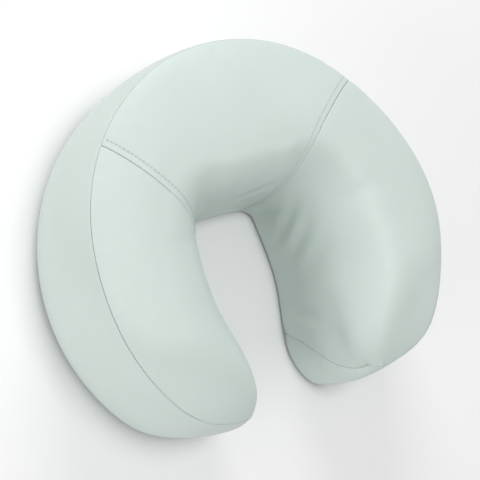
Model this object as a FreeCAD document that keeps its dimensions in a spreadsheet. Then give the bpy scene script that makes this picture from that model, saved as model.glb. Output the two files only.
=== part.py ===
import FreeCAD, Part

import math
import os

import Sketcher
from FreeCAD import Vector

# Face-rest cushion: a horseshoe of foam in a sewn cover, open between its two legs.
# The origin is the middle of the underside. +Z is up, +Y points to the closed brow end.
# The cushion stands on three loop strips, and a straight zip crosses the underside.

doc = FreeCAD.newDocument("FaceCushion")
sheet = doc.addObject("Spreadsheet::Sheet", "Sizes")

DRIVING_SIZES = (
    ("outer_radius", 152.5),
    ("length", 272),
    ("opening_end", 17),
    ("corner_centre", 24),
    ("corner_radius", 20),
    ("tip_inner_centre", 60),
    ("tip_inner_radius", 25),
    ("tip_outer_radius", 36),
    ("strip_thickness", 3),
    ("cover_thickness", 1.2),
    ("seam_height", 96.5),
    ("top_height", 105.5),
    ("top_ridge_radius", 106),
    ("top_curve_radius", 104),
    ("dome_hole_radius", 20),
    ("tip_fall_start", 50),
    ("tip_fall_radius", 122),
    ("rim_round", 8),
    ("band_margin", 2),
    ("band_level_end", 85),
    ("band_fall_middle", 115),
    ("band_middle_height", 83),
    ("band_tip_height", 66),
    ("left_seam_in", 44),
    ("left_seam_front", -14),
    ("left_seam_out", 119),
    ("left_seam_back", 79),
    ("left_stitch_start", 14),
    ("right_seam_in", 30),
    ("right_seam_front", 16),
    ("right_seam_out", 110),
    ("right_seam_back", 86),
    ("right_stitch_start", 4),
    ("opening_margin", 90),
    ("opening_margin_back", 60),
    ("tip_margin", 52),
    ("tip_margin_front", 122),
    ("tip_margin_width", 17),
    ("foam_split", 58),
    ("topstitch_offset", 5.5),
    ("stitch_pitch", 3.2),
    ("stitch_length", 2.5),
    ("thread_radius", 0.35),
    ("leg_strip_middle", 95),
    ("leg_strip_width", 50),
    ("leg_strip_length", 110),
    ("leg_strip_front", 95),
    ("crown_strip_width", 110),
    ("crown_strip_depth", 30),
    ("crown_strip_front", 34),
    ("zip_line", 86),
    ("zip_half_length", 85),
    ("slider_park", 1),
    ("slot_half_width", 5),
    ("slot_spare_length", 2),
    ("tape_half_length", 93),
    ("tape_inner_edge", 3.2),
    ("tape_outer_edge", 13.5),
    ("tape_thickness", 0.6),
    ("tooth_pitch", 2.5),
    ("tooth_width", 1.1),
    ("tooth_reach", 0.9),
    ("tooth_bevel", 0.22),
    ("chain_thickness", 2.4),
    ("groove_depth", 4),
    ("groove_spare", 1),
    ("slider_length", 10),
    ("slider_half_width", 4.2),
    ("plate_thickness", 1),
    ("plate_gap", 0.1),
    ("flange_thickness", 0.8),
    ("wedge_length", 3),
    ("wedge_half_width", 0.8),
    ("bridge_length", 6),
    ("bridge_width", 2),
    ("bridge_drop", 1.9),
    ("bridge_wall", 0.6),
    ("pull_length", 22),
    ("pull_width", 6.5),
    ("pull_thickness", 1),
    ("pull_bar_radius", 0.5),
    ("pull_window", 4.5),
    ("pull_play", 0.3),
)

WORKED_OUT_SIZES = (
    ("half_length", "length / 2"),
    ("circle_setback", "outer_radius - half_length"),
    ("base_top", "strip_thickness + cover_thickness"),
    ("tape_top", "base_top + tape_thickness"),
    ("chain_middle", "base_top + tape_thickness / 2"),
    ("plate_inner", "chain_thickness / 2 + plate_gap"),
    ("plate_outer", "plate_inner + plate_thickness"),
    ("slider_end", "zip_half_length - slider_park"),
    ("slider_start", "slider_end - slider_length"),
    ("pull_axis_along", "slider_start + slider_length / 2"),
    ("pull_axis_up", "chain_middle - plate_outer - (bridge_drop - bridge_wall) / 2"),
)

for row, (alias, value) in enumerate(DRIVING_SIZES, start=1):
    sheet.set(f"A{row}", alias)
    sheet.set(f"B{row}", str(value))
    sheet.setAlias(f"B{row}", alias)
for row, (alias, formula) in enumerate(WORKED_OUT_SIZES, start=len(DRIVING_SIZES) + 1):
    sheet.set(f"A{row}", alias)
    sheet.set(f"B{row}", f"={formula}")
    sheet.setAlias(f"B{row}", alias)
doc.recompute()


def size(alias):
    """The value of one cell of the sheet, in millimetres."""
    return float(sheet.get(alias))


def bind(item, **expressions):
    """Binds properties of an object to formulas over the sheet's cells."""
    for prop, formula in expressions.items():
        item.setExpression(prop, over_sheet(formula))


def over_sheet(formula):
    """Puts the sheet's name before each alias of a formula."""
    words = formula.replace("(", " ( ").replace(")", " ) ").split()
    known = {alias for alias, _ in DRIVING_SIZES + WORKED_OUT_SIZES}
    return " ".join(f"Sizes.{word}" if word in known else word for word in words)


def value_of(formula):
    """The value of a formula over the sheet's cells."""
    return float(sheet.evalExpression(formula))


def at(item, along="0", across="0", up="0"):
    """Binds the place of an object to three formulas over the sheet's cells."""
    item.setExpression(".Placement.Base.x", over_sheet(along))
    item.setExpression(".Placement.Base.y", over_sheet(across))
    item.setExpression(".Placement.Base.z", over_sheet(up))


def box(name, length, width, height, along, across, up):
    """A Part::Box bound to the sheet."""
    item = doc.addObject("Part::Box", name)
    bind(item, Length=length, Width=width, Height=height)
    at(item, along, across, up)
    return item


def boolean(kind, name, base, tool):
    """A Part::Cut, Part::Common or Part::Fuse of two objects."""
    item = doc.addObject(f"Part::{kind}", name)
    item.Base = base
    item.Tool = tool
    return item


def fused(name, pieces):
    """One solid joined from several touching ones."""
    item = doc.addObject("Part::MultiFuse", name)
    item.Shapes = pieces
    item.Refine = True
    return item


def new_body(name):
    """An empty PartDesign body."""
    return doc.addObject("PartDesign::Body", name)


def new_sketch(body, name, role):
    """A sketch on one of the body's own origin planes."""
    plane = next(item for item in body.Origin.OriginFeatures if item.Role == role)
    sketch = body.newObject("Sketcher::SketchObject", name)
    sketch.AttachmentSupport = (plane, "")
    sketch.MapMode = "FlatFace"
    return sketch


def constrain(sketch, formula, *constraint):
    """Adds a sized constraint and binds it to a formula over the sheet's cells."""
    index = sketch.addConstraint(Sketcher.Constraint(*constraint, value_of(formula)))
    sketch.setExpression(f"Constraints[{index}]", over_sheet(formula))


def polygon(sketch, corners):
    """Draws a closed polygon whose corners are pairs of formulas."""
    points = [Vector(value_of(x), value_of(y), 0) for x, y in corners]
    count = len(points)
    for index in range(count):
        sketch.addGeometry(Part.LineSegment(points[index], points[(index + 1) % count]), False)
    for index in range(count):
        sketch.addConstraint(Sketcher.Constraint("Coincident", index, 2, (index + 1) % count, 1))
    for index, (x, y) in enumerate(corners):
        constrain(sketch, x, "DistanceX", -1, 1, index, 1)
        constrain(sketch, y, "DistanceY", -1, 1, index, 1)


def pad(body, sketch, name, formula, both_ways=False):
    """Pads a sketch by a length from the sheet."""
    item = body.newObject("PartDesign::Pad", name)
    item.Profile = sketch
    item.Midplane = both_ways
    bind(item, Length=formula)
    return item


# ---------------------------------------------------------------- the cushion's form


def draw_outline(sketch, inset):
    """Draws the horseshoe seen from above: twelve lines and arcs, each tangent to the next.

    Every edge lies `inset` inside the cover's outer face.
    """
    radius = value_of(f"outer_radius - {inset}")
    setback = size("circle_setback")
    end_line = -value_of(f"half_length - {inset}")
    opening_end = value_of(f"opening_end + {inset}")
    corner_radius = value_of(f"corner_radius + {inset}")
    corner_x = size("corner_centre")
    corner_y = opening_end - corner_radius
    inner_radius = value_of(f"tip_inner_radius - {inset}")
    inner_x = size("tip_inner_centre")
    inner_y = end_line + inner_radius
    outer_tip = value_of(f"tip_outer_radius - {inset}")
    outer_y = end_line + outer_tip
    outer_x = math.sqrt((radius - outer_tip) ** 2 - (outer_y + setback) ** 2)
    apart = math.hypot(inner_x - corner_x, corner_y - inner_y)
    spread = math.atan2(inner_x - corner_x, corner_y - inner_y)
    lean = math.asin((corner_radius + inner_radius) / apart) - spread
    touch = math.atan2(outer_y + setback, outer_x)
    half_turn = math.pi
    quarter_turn = math.pi / 2

    def arc(x, y, reach, start, end):
        circle = Part.Circle(Vector(x, y, 0), Vector(0, 0, 1), reach)
        sketch.addGeometry(Part.ArcOfCircle(circle, start, end), False)

    def line(x1, y1, x2, y2):
        sketch.addGeometry(Part.LineSegment(Vector(x1, y1, 0), Vector(x2, y2, 0)), False)

    def on(x, y, reach, angle):
        return x + reach * math.cos(angle), y + reach * math.sin(angle)

    tip_side = half_turn - lean
    left_turn = half_turn + lean
    arc(0, -setback, radius, touch, half_turn - touch)
    arc(outer_x, outer_y, outer_tip, -quarter_turn, touch)
    line(outer_x, end_line, inner_x, end_line)
    arc(inner_x, inner_y, inner_radius, tip_side, 3 * quarter_turn)
    line(*on(inner_x, inner_y, inner_radius, tip_side), *on(corner_x, corner_y, corner_radius, -lean))
    arc(corner_x, corner_y, corner_radius, -lean, quarter_turn)
    line(corner_x, opening_end, -corner_x, opening_end)
    arc(-corner_x, corner_y, corner_radius, quarter_turn, left_turn)
    line(*on(-corner_x, corner_y, corner_radius, left_turn), *on(-inner_x, inner_y, inner_radius, lean))
    arc(-inner_x, inner_y, inner_radius, -quarter_turn, lean)
    line(-inner_x, end_line, -outer_x, end_line)
    arc(-outer_x, outer_y, outer_tip, half_turn - touch, 3 * quarter_turn)

    start, end, centre = 1, 2, 3
    joins = (
        (0, start, 1, end), (1, start, 2, start), (2, end, 3, end), (3, start, 4, start),
        (4, end, 5, start), (5, end, 6, start), (6, end, 7, start), (7, end, 8, start),
        (8, end, 9, end), (9, start, 10, start), (10, end, 11, end), (11, start, 0, end),
    )
    for first, first_end, second, second_end in joins:
        sketch.addConstraint(Sketcher.Constraint("Tangent", first, first_end, second, second_end))
    for level in (2, 6, 10):
        sketch.addConstraint(Sketcher.Constraint("Horizontal", level))
    sketch.addConstraint(Sketcher.Constraint("PointOnObject", 0, centre, -2))
    constrain(sketch, "circle_setback", "DistanceY", 0, centre, -1, 1)
    constrain(sketch, f"outer_radius - {inset}", "Radius", 0)
    constrain(sketch, f"opening_end + {inset}", "DistanceY", -1, 1, 6, start)
    for side, (tip_arc, end_edge, inner_arc, corner_arc) in ((1, (1, 2, 3, 5)), (-1, (11, 10, 9, 7))):
        constrain(sketch, f"tip_outer_radius - {inset}", "Radius", tip_arc)
        constrain(sketch, f"tip_inner_radius - {inset}", "Radius", inner_arc)
        constrain(sketch, f"corner_radius + {inset}", "Radius", corner_arc)
        constrain(sketch, f"half_length - {inset}", "DistanceY", end_edge, start, -1, 1)
        ends = (-1, 1, inner_arc, centre) if side > 0 else (inner_arc, centre, -1, 1)
        constrain(sketch, "tip_inner_centre", "DistanceX", *ends)
        ends = (-1, 1, corner_arc, centre) if side > 0 else (corner_arc, centre, -1, 1)
        constrain(sketch, "corner_centre", "DistanceX", *ends)


def draw_crown(sketch, inset):
    """Draws what a ring-shaped cut takes off the top, leaving it domed from rim to rim."""
    reach = value_of("outer_radius + rim_round")
    hole = size("dome_hole_radius")
    ridge = size("top_ridge_radius")
    curve = value_of(f"top_curve_radius - {inset}")
    setback = size("circle_setback")
    low = size("top_height") - size("top_curve_radius")
    ceiling = 2 * size("top_height")

    def dome(distance):
        return low + math.sqrt(curve**2 - (distance - ridge) ** 2)

    middle = Vector(ridge - setback, low, 0)
    start_angle = math.atan2(dome(reach) - low, reach - ridge)
    end_angle = math.atan2(dome(hole) - low, hole - ridge)
    circle = Part.Circle(middle, Vector(0, 0, 1), curve)
    near = Vector(hole - setback, dome(hole), 0)
    far = Vector(reach - setback, dome(reach), 0)
    near_top = Vector(hole - setback, ceiling, 0)
    far_top = Vector(reach - setback, ceiling, 0)
    sketch.addGeometry(Part.ArcOfCircle(circle, start_angle, end_angle), False)
    sketch.addGeometry(Part.LineSegment(near, near_top), False)
    sketch.addGeometry(Part.LineSegment(near_top, far_top), False)
    sketch.addGeometry(Part.LineSegment(far_top, far), False)
    sketch.addGeometry(Part.LineSegment(Vector(-setback, 0, 0), Vector(-setback, ceiling, 0)), True)
    for first, first_end, second, second_end in ((0, 2, 1, 1), (1, 2, 2, 1), (2, 2, 3, 1), (3, 2, 0, 1)):
        sketch.addConstraint(Sketcher.Constraint("Coincident", first, first_end, second, second_end))
    sketch.addConstraint(Sketcher.Constraint("Vertical", 1))
    sketch.addConstraint(Sketcher.Constraint("Horizontal", 2))
    sketch.addConstraint(Sketcher.Constraint("Vertical", 3))
    sketch.addConstraint(Sketcher.Constraint("Vertical", 4))
    sketch.addConstraint(Sketcher.Constraint("PointOnObject", 4, 1, -1))
    constrain(sketch, "circle_setback", "DistanceX", 4, 1, -1, 1)
    constrain(sketch, "2 * top_height", "DistanceY", -1, 1, 4, 2)
    constrain(sketch, f"top_curve_radius - {inset}", "Radius", 0)
    constrain(sketch, "top_ridge_radius - circle_setback", "DistanceX", -1, 1, 0, 3)
    constrain(sketch, "top_height - top_curve_radius", "DistanceY", -1, 1, 0, 3)
    constrain(sketch, "dome_hole_radius - circle_setback", "DistanceX", -1, 1, 1, 1)
    constrain(sketch, "2 * top_height", "DistanceY", -1, 1, 1, 2)
    constrain(sketch, "outer_radius + rim_round - circle_setback", "DistanceX", -1, 1, 3, 2)


def draw_tip_fall(sketch, inset):
    """Draws what a straight cut takes off the legs, so that their tops fall towards the tips."""
    start = -size("tip_fall_start")
    curve = value_of(f"tip_fall_radius - {inset}")
    low = size("top_height") - size("tip_fall_radius")
    end = -value_of("half_length + cover_thickness")
    ceiling = 2 * size("top_height")
    drop = low + math.sqrt(curve**2 - (end - start) ** 2)
    circle = Part.Circle(Vector(start, low, 0), Vector(0, 0, 1), curve)
    end_angle = math.atan2(drop - low, end - start)
    sketch.addGeometry(Part.ArcOfCircle(circle, math.pi / 2, end_angle), False)
    sketch.addGeometry(Part.LineSegment(Vector(end, drop, 0), Vector(end, ceiling, 0)), False)
    sketch.addGeometry(Part.LineSegment(Vector(end, ceiling, 0), Vector(start, ceiling, 0)), False)
    sketch.addGeometry(Part.LineSegment(Vector(start, ceiling, 0), Vector(start, low + curve, 0)), False)
    for first, first_end, second, second_end in ((0, 2, 1, 1), (1, 2, 2, 1), (2, 2, 3, 1), (3, 2, 0, 1)):
        sketch.addConstraint(Sketcher.Constraint("Coincident", first, first_end, second, second_end))
    sketch.addConstraint(Sketcher.Constraint("Vertical", 1))
    sketch.addConstraint(Sketcher.Constraint("Horizontal", 2))
    sketch.addConstraint(Sketcher.Constraint("Vertical", 3))
    constrain(sketch, f"tip_fall_radius - {inset}", "Radius", 0)
    constrain(sketch, "tip_fall_start", "DistanceX", 0, 3, -1, 1)
    constrain(sketch, "top_height - tip_fall_radius", "DistanceY", -1, 1, 0, 3)
    constrain(sketch, "tip_fall_start", "DistanceX", 3, 1, -1, 1)
    constrain(sketch, "2 * top_height", "DistanceY", -1, 1, 1, 2)
    constrain(sketch, "half_length + cover_thickness", "DistanceX", 1, 1, -1, 1)


def rim_edges(shape):
    """The names of the edges where the opening's upright walls meet the domed top."""
    names = []
    half_height = size("seam_height") / 2
    for face in shape.Faces:
        u_middle = sum(face.ParameterRange[:2]) / 2
        v_middle = sum(face.ParameterRange[2:]) / 2
        upright = abs(face.normalAt(u_middle, v_middle).z) < 0.01
        if not upright:
            continue
        for edge in face.Edges:
            middle = edge.CenterOfMass
            by_opening = abs(middle.x) < size("tip_inner_centre") and middle.y < 2 * size("opening_end")
            if by_opening and min(vertex.Z for vertex in edge.Vertexes) > half_height:
                index = next(n for n, other in enumerate(shape.Edges, 1) if other.isSame(edge))
                names.append(f"Edge{index}")
    return sorted(set(names))


def cushion_form(name, inset, base_level):
    """A solid horseshoe, `inset` inside the cover's outer face, standing on `base_level`."""
    body = new_body(name)
    outline = new_sketch(body, f"{name}_outline", "XY_Plane")
    outline.setExpression(".AttachmentOffset.Base.z", over_sheet(base_level))
    draw_outline(outline, inset)
    pad(body, outline, f"{name}_pad", f"top_height + cover_thickness - {base_level}")
    section = new_sketch(body, f"{name}_section", "YZ_Plane")
    draw_crown(section, inset)
    dome = body.newObject("PartDesign::Groove", f"{name}_dome")
    dome.Profile = section
    dome.ReferenceAxis = (section, ["Axis0"])
    dome.Angle = 360
    fall = new_sketch(body, f"{name}_fall", "YZ_Plane")
    draw_tip_fall(fall, inset)
    tips = body.newObject("PartDesign::Pocket", f"{name}_tips")
    tips.Profile = fall
    tips.Type = "ThroughAll"
    tips.Midplane = True
    doc.recompute()
    rounding = body.newObject("PartDesign::Fillet", f"{name}_rounding")
    rounding.Base = (tips, rim_edges(tips.Shape))
    bind(rounding, Radius=f"rim_round - {inset}")
    doc.recompute()
    return body


def polygon_prism(name, role, corners, formula, both_ways=False):
    """A prism with a polygon outline on one of the origin planes."""
    body = new_body(name)
    sketch = new_sketch(body, f"{name}_outline", role)
    polygon(sketch, corners)
    pad(body, sketch, f"{name}_pad", formula, both_ways)
    return body


outer_form = cushion_form("outer_form", "0", "strip_thickness")
inner_form = cushion_form("inner_form", "cover_thickness", "base_top")
doc.recompute()


# ---------------------------------------------------------------- the sewn cover

cover_shell = boolean("Cut", "cover_shell", outer_form, inner_form)
base_zone = box(
    "base_zone", "2 * outer_radius", "length", "cover_thickness",
    "0 - outer_radius", "0 - half_length", "strip_thickness",
)
walls = boolean("Cut", "walls", cover_shell, base_zone)

# The band's upper edge runs level round the outside and falls with the legs' tops.
band_profile = polygon_prism(
    "band_profile",
    "YZ_Plane",
    (
        ("0 - length", "0"),
        ("length", "0"),
        ("length", "seam_height - band_margin"),
        ("0 - band_level_end", "seam_height - band_margin"),
        ("0 - band_fall_middle", "band_middle_height"),
        ("0 - half_length", "band_tip_height"),
        ("0 - length", "band_tip_height"),
    ),
    "3 * outer_radius",
    True,
)
opening_zone = polygon_prism(
    "opening_zone",
    "XY_Plane",
    (
        ("0 - tip_margin", "0 - tip_margin_front"),
        ("tip_margin", "0 - tip_margin_front"),
        ("tip_margin", "tip_margin_width - tip_margin_front"),
        ("opening_margin", "0 - opening_margin"),
        ("opening_margin", "opening_margin_back"),
        ("0 - opening_margin", "opening_margin_back"),
        ("0 - opening_margin", "0 - opening_margin"),
        ("0 - tip_margin", "tip_margin_width - tip_margin_front"),
    ),
    "2 * top_height",
)
band_zone = boolean("Cut", "band_zone", band_profile, opening_zone)

boolean("Common", "side_band", walls, band_zone)
top_cover = boolean("Cut", "top_cover", walls, band_zone)

# The brow panel covers the closed end between two seams that fan out from the opening.
brow_zone = polygon_prism(
    "brow_zone",
    "XY_Plane",
    (
        ("0 - left_seam_in", "left_seam_front"),
        ("right_seam_in", "left_seam_front"),
        ("right_seam_in", "right_seam_front"),
        ("right_seam_out", "right_seam_back"),
        ("2 * right_seam_out - right_seam_in", "2 * right_seam_back - right_seam_front"),
        ("2 * right_seam_out - right_seam_in", "length"),
        ("left_seam_in - 2 * left_seam_out", "length"),
        ("left_seam_in - 2 * left_seam_out", "2 * left_seam_back - left_seam_front"),
        ("0 - left_seam_out", "left_seam_back"),
    ),
    "2 * top_height",
)
boolean("Common", "brow_panel", top_cover, brow_zone)
cheeks = boolean("Cut", "cheeks", top_cover, brow_zone)
for side, start in (("left", "0 - outer_radius"), ("right", "0")):
    half = box(f"{side}_half", "outer_radius", "length", "2 * top_height", start, "0 - half_length", "0")
    boolean("Common", f"{side}_cheek_panel", cheeks, half)

base_sheet = boolean("Common", "base_sheet", cover_shell, base_zone)
zip_slot = box(
    "zip_slot", "2 * zip_half_length + 2 * slot_spare_length", "2 * slot_half_width", "base_top",
    "0 - zip_half_length - slot_spare_length", "zip_line - slot_half_width", "0",
)
boolean("Cut", "base_panel", base_sheet, zip_slot)


# ---------------------------------------------------------------- the foam

zip_groove = box(
    "zip_groove", "2 * tape_half_length + 2 * groove_spare",
    "2 * tape_outer_edge + 2 * groove_spare", "groove_depth",
    "0 - tape_half_length - groove_spare", "zip_line - tape_outer_edge - groove_spare", "base_top",
)
grooved_foam = boolean("Cut", "grooved_foam", inner_form, zip_groove)
lower_zone = box(
    "lower_zone", "2 * outer_radius", "length", "foam_split",
    "0 - outer_radius", "0 - half_length", "0",
)
boolean("Common", "foam_base", grooved_foam, lower_zone)
boolean("Cut", "memory_foam", grooved_foam, lower_zone)


# ---------------------------------------------------------------- the loop strips underneath

box(
    "crown_loop_strip", "crown_strip_width", "crown_strip_depth", "strip_thickness",
    "0 - crown_strip_width / 2", "crown_strip_front", "0",
)
for side, start in (
    ("left", "0 - leg_strip_middle - leg_strip_width / 2"),
    ("right", "leg_strip_middle - leg_strip_width / 2"),
):
    box(
        f"{side}_loop_strip", "leg_strip_width", "leg_strip_length", "strip_thickness",
        start, "0 - leg_strip_front", "0",
    )


# ---------------------------------------------------------------- the zip

for place, start in (("front", "zip_line - tape_outer_edge"), ("rear", "zip_line + tape_inner_edge")):
    box(
        f"zip_tape_{place}", "2 * tape_half_length", "tape_outer_edge - tape_inner_edge", "tape_thickness",
        "0 - tape_half_length", start, "base_top",
    )


def tooth_row(name, side, first):
    """One row of moulded teeth, each reaching just past the middle of the chain."""
    width = size("tooth_width")
    reach = size("tooth_reach")
    depth = size("tape_inner_edge") + reach
    thickness = size("chain_thickness")
    pitch = size("tooth_pitch")
    low = size("chain_middle") - thickness / 2
    near = size("zip_line") + (-reach if side > 0 else -size("tape_inner_edge"))
    last = size("slider_end") - size("wedge_length") - width
    bevel = size("tooth_bevel")
    teeth = []
    along = first
    while along + width / 2 < last:
        tooth = Part.makeBox(width, depth, thickness, Vector(along - width / 2, near, low))
        upright = [edge for edge in tooth.Edges if abs(edge.tangentAt(edge.FirstParameter).z) > 0.9]
        teeth.append(tooth.makeChamfer(bevel, upright))
        along += pitch
    row = doc.addObject("Part::Feature", name)
    row.Shape = Part.makeCompound(teeth)
    row.Placement = FreeCAD.Placement()
    return row


first_tooth = size("tooth_pitch") + size("tooth_width") - size("zip_half_length")
tooth_row("zip_teeth_front", -1, first_tooth)
tooth_row("zip_teeth_rear", 1, first_tooth + size("tooth_pitch") / 2)

box(
    "zip_bottom_stop", "tooth_pitch", "2 * tape_inner_edge", "chain_thickness",
    "0 - zip_half_length", "zip_line - tape_inner_edge", "chain_middle - chain_thickness / 2",
)
stops = []
for place, start in (("front", "zip_line - tape_inner_edge"), ("rear", "zip_line + wedge_half_width")):
    stops.append(
        box(
            f"top_stop_{place}", "tooth_width", "tape_inner_edge - wedge_half_width", "chain_thickness",
            "zip_half_length - tooth_width / 2", start, "chain_middle - chain_thickness / 2",
        )
    )
top_stops = doc.addObject("Part::Compound", "zip_top_stops")
top_stops.Links = stops


def slider_plate(name, up):
    """One plate of the slider, as long as the slider."""
    return box(
        name, "slider_length", "2 * slider_half_width", "plate_thickness",
        "slider_start", "zip_line - slider_half_width", up,
    )


outer_plate = slider_plate("outer_plate", "chain_middle - plate_outer")
inner_plate = slider_plate("inner_plate", "chain_middle + plate_inner")
slider_pieces = [outer_plate, inner_plate]
for place, start in (
    ("front", "zip_line - slider_half_width"),
    ("rear", "zip_line + slider_half_width - flange_thickness"),
):
    slider_pieces.append(
        box(
            f"outer_flange_{place}", "slider_length", "flange_thickness",
            "plate_inner - tape_thickness / 2 - plate_gap",
            "slider_start", start, "chain_middle - plate_inner",
        )
    )
    slider_pieces.append(
        box(
            f"inner_flange_{place}", "slider_length", "flange_thickness",
            "plate_inner - tape_thickness / 2 - plate_gap",
            "slider_start", start, "chain_middle + tape_thickness / 2 + plate_gap",
        )
    )
slider_pieces.append(
    box(
        "wedge", "wedge_length", "2 * wedge_half_width", "2 * plate_inner",
        "slider_end - wedge_length", "zip_line - wedge_half_width", "chain_middle - plate_inner",
    )
)

# The bridge is an arch under the outer plate, and the pull's bar turns inside it.
bridge_block = box(
    "bridge_block", "bridge_length", "bridge_width", "bridge_drop",
    "pull_axis_along - bridge_length / 2", "zip_line - bridge_width / 2",
    "chain_middle - plate_outer - bridge_drop",
)
bridge_window = box(
    "bridge_window", "bridge_length - 2 * bridge_wall", "2 * bridge_width", "bridge_drop - bridge_wall",
    "pull_axis_along - bridge_length / 2 + bridge_wall", "zip_line - bridge_width",
    "chain_middle - plate_outer - bridge_drop + bridge_wall",
)
slider_pieces.append(boolean("Cut", "bridge", bridge_block, bridge_window))
fused("zip_slider", slider_pieces)

# The pull lies flat under the closed chain: a plate with a window, and a round bar across its end.
pull_plate = box(
    "pull_plate", "pull_length", "pull_width", "pull_thickness",
    "pull_axis_along - pull_length", "zip_line - pull_width / 2", "pull_axis_up - pull_thickness / 2",
)
pull_slit = box(
    "pull_slit", "pull_window + pull_bar_radius", "bridge_width + 2 * pull_play", "2 * pull_thickness",
    "pull_axis_along - pull_window", "zip_line - bridge_width / 2 - pull_play",
    "pull_axis_up - pull_thickness",
)
pull_blade = boolean("Cut", "pull_blade", pull_plate, pull_slit)
pull_bar = doc.addObject("Part::Cylinder", "pull_bar")
bind(pull_bar, Radius="pull_bar_radius", Height="pull_width")
at(pull_bar, "pull_axis_along", "zip_line + pull_width / 2", "pull_axis_up")
pull_bar.Placement.Rotation = FreeCAD.Rotation(Vector(1, 0, 0), 90)
fused("zip_pull", [pull_blade, pull_bar])
doc.recompute()


# ---------------------------------------------------------------- the topstitching


def top_at(x, y):
    """The point of the cover's outer face straight above a place."""
    floor = size("seam_height") / 2
    needle = Part.makeLine(Vector(x, y, floor), Vector(x, y, 2 * size("top_height")))
    inside = outer_form.Shape.common(needle)
    return Vector(x, y, inside.BoundBox.ZMax + 2 * size("thread_radius"))


def topstitch(side_name, side):
    """A row of stitches on the brow panel, beside one of its two cross seams."""
    inner = Vector(side * size(f"{side_name}_seam_in"), size(f"{side_name}_seam_front"), 0)
    outer = Vector(side * size(f"{side_name}_seam_out"), size(f"{side_name}_seam_back"), 0)
    run = (outer - inner).normalize()
    beside = Vector(-side * run.y, side * run.x, 0) * size("topstitch_offset")
    first_stitch = size(f"{side_name}_stitch_start")
    pitch = size("stitch_pitch")
    count = int(((outer - inner).Length - first_stitch - size("topstitch_offset")) / pitch)
    stitches = []
    for number in range(count):
        middle = inner + beside + run * (first_stitch + number * pitch)
        half = run * (size("stitch_length") / 2)
        first = top_at((middle - half).x, (middle - half).y)
        second = top_at((middle + half).x, (middle + half).y)
        along = second - first
        stitches.append(Part.makeCylinder(size("thread_radius"), along.Length, first, along))
    row = doc.addObject("Part::Feature", f"{side_name}_topstitch")
    row.Shape = Part.makeCompound(stitches)
    row.Placement = FreeCAD.Placement()
    return row


topstitch("left", -1)
topstitch("right", 1)
doc.recompute()


# ---------------------------------------------------------------- checks and files

NODES = (
    "brow_panel",
    "left_cheek_panel",
    "right_cheek_panel",
    "side_band",
    "base_panel",
    "left_topstitch",
    "right_topstitch",
    "memory_foam",
    "foam_base",
    "left_loop_strip",
    "right_loop_strip",
    "crown_loop_strip",
    "zip_tape_front",
    "zip_tape_rear",
    "zip_teeth_front",
    "zip_teeth_rear",
    "zip_top_stops",
    "zip_bottom_stop",
    "zip_slider",
    "zip_pull",
)

for item in doc.Objects:
    if "Invalid" in item.State or "Error" in item.State:
        raise RuntimeError(f"{item.Label} failed: {item.State}")
os.makedirs("parts", exist_ok=True)
for node in NODES:
    item = doc.getObject(node)
    item.Label = node
    shape = item.Shape
    if shape.isNull() or not shape.isValid() or shape.Volume <= 0:
        raise RuntimeError(f"{node} has no sound shape")
    shape.exportStep(f"parts/{node}.step")
    low = shape.optimalBoundingBox()
    print(
        f"{node:20s} solids {len(shape.Solids):3d}  volume {shape.Volume:11.1f}  "
        f"x {low.XMin:8.2f} {low.XMax:8.2f}  y {low.YMin:8.2f} {low.YMax:8.2f}  "
        f"z {low.ZMin:7.2f} {low.ZMax:7.2f}"
    )
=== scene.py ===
import math

import bmesh
import bpy
import numpy as np
from mathutils import Matrix, Vector
from mathutils.geometry import delaunay_2d_cdt
from mathutils.kdtree import KDTree


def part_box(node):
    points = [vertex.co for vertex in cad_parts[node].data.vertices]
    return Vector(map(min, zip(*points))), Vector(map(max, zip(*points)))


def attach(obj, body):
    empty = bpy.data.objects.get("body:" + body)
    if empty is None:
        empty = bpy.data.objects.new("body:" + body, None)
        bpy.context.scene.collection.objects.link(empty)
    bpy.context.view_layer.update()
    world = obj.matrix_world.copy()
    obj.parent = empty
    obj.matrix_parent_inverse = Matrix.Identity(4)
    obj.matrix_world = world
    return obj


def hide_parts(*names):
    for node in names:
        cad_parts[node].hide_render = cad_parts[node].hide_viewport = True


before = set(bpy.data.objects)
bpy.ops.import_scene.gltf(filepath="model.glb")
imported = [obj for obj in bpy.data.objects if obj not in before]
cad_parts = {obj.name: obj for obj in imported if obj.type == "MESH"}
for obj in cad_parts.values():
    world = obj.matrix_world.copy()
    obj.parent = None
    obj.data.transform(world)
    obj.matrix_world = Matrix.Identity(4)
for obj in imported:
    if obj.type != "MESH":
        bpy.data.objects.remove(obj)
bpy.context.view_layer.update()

# A horseshoe face cushion in coated fabric over foam. Lengths are in metres, in the shared frame: +Z is
# up and +Y points to the closed, brow end. The cover is worked out as grids of points, whose rows go from
# the outer seam over the top and down the wall of the opening, and whose columns go from the left tip
# round the crown to the right tip.

MM = 0.001
TINY = 1e-12
SEED = 7
band_low, band_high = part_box("side_band")
TIP_Y = band_low.y
CROWN_Y = band_high.y
tapes_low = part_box("zip_tape_front")[0]
tapes_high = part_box("zip_tape_rear")[1]

# ------------------------ driving dimensions

OUTER_RADIUS = 152.5 * MM
OUTER_CENTRE_Y = CROWN_Y - OUTER_RADIUS
# Turns round the outside from the crown's middle, and how far the outline stands out from the circle
# there, in millimetres.
ARC = ((0, 1.0), (25, 1.0), (50, 0), (75, 0), (100, 0.5), (122, 0.5))
# The rest of half the outline: from the outside of the right tip, round it and up the opening to the
# crown. Millimetres across, and ahead of the tip's end.
TIP_OUTLINE = ((102, 10.5), (66, 0), (51.2, 2.4), (38, 32), (47.4, 88), (46.6, 136), (44.9, 147),
               (40.4, 151.8), (30, 154.4), (0, 155.3))
LINE_POINTS = 3000
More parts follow.
